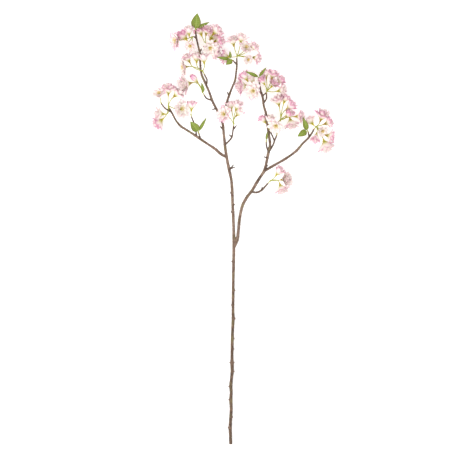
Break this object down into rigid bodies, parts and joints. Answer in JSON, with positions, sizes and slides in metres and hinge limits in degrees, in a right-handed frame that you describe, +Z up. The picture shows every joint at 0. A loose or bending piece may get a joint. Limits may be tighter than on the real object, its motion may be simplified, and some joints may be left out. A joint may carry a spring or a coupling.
{
  "type": "cherry blossom sprig",
  "caption": "Cut flowering branch lying flat: a slim knotted stem forks into arms with drooping bunches of double blossoms, half-open buds and young toothed leaves.",
  "frame": {"origin": "on the surface that the sprig lies on, under the middle of its bounding box", "axes": "+Y along the stem from its cut end to the blossom, +X to the right seen from above, +Z up from the surface"},
  "size_m": [0.4968, 1.1671, 0.0608],
  "materials": {
    "bark": "matt, knotted reddish-brown bark",
    "green": "fresh yellow-green stalks, calyxes and leaves, with the closed petals that are fused to them",
    "petal": "soft white petals with pale pink edges and backs"
  },
  "bodies": {
    "root": {"branch": "bark", "spray_collar": "green", "spray_crown": "green", "spray_elbow": "green", "spray_forkLeft": "green", "spray_forkRight": "green", "spray_inner": "green", "spray_innerStub": "green", "spray_leader": "green", "spray_leaderStub": "green", "spray_leftMid": "green", "spray_leftOuter": "green", "spray_leftStub": "green", "spray_leftTip": "green", "spray_lower": "green", "spray_middle": "green", "spray_rightCrown": "green", "spray_rightInner": "green", "spray_rightStub": "green", "spray_rightTip": "green", "spray_topLeft": "green", "spray_topRight": "green", "bloom_1": "petal", "bloom_10_11": "petal", "bloom_14_15": "petal", "bloom_16": "petal", "bloom_18_19": "petal", "bloom_2": "petal", "bloom_20_21": "petal", "bloom_22": "petal", "bloom_23": "petal", "bloom_24": "petal", "bloom_25_26_30": "petal", "bloom_27": "petal", "bloom_28_29": "petal", "bloom_32": "petal", "bloom_37": "petal", "bloom_39": "petal", "bloom_4": "petal", "bloom_42_43": "petal", "bloom_44": "petal", "bloom_45_49_50": "petal", "bloom_48": "petal", "bloom_53": "petal", "bloom_54": "petal", "bloom_55_56": "petal", "bloom_57": "petal", "bloom_58_59": "petal", "bloom_5_6_7_8_9": "petal", "bloom_61": "petal", "bloom_63": "petal", "bloom_64": "petal"}
  },
  "joints": []
}
